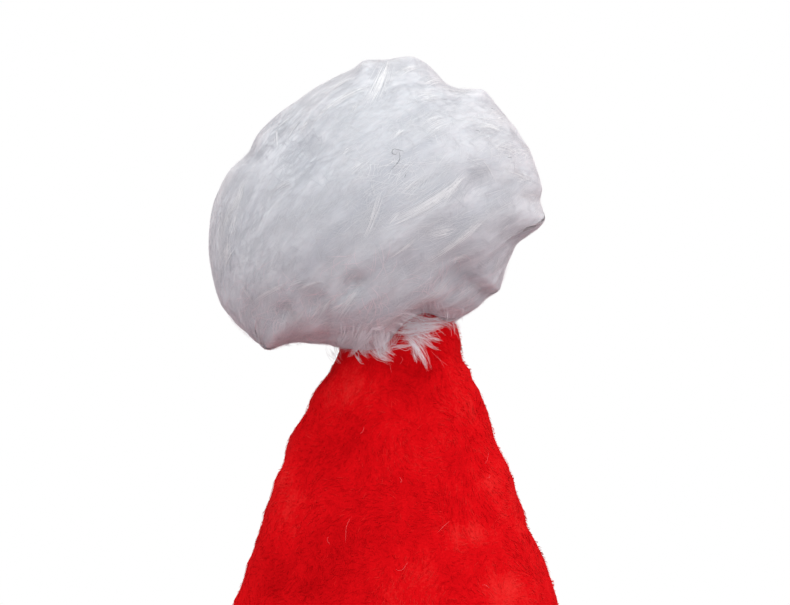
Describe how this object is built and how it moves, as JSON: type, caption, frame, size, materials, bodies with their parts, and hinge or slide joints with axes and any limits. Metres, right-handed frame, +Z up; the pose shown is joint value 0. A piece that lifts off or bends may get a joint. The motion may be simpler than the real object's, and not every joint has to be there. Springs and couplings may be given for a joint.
{
  "type": "santa hat",
  "caption": "Tall soft cone hat of red plush with a white fur cuff turned up round its open rim and a white long-pile fur pompom on its tip.",
  "frame": {"origin": "centre of the cuff's underside, on the surface that the hat stands on", "axes": "+Z up from the rim to the pompom, -Y the front that the picture shows, +X to the picture's right"},
  "size_m": [0.2536, 0.155, 0.3849],
  "materials": {
    "red_plush": "short-pile red plush, matt with a soft sheen",
    "white_fur": "long-pile white faux fur, silky strands with a soft sheen"
  },
  "bodies": {
    "root": {"crown": "red_plush", "cuff": "white_fur", "pompom": "white_fur"}
  },
  "joints": []
}
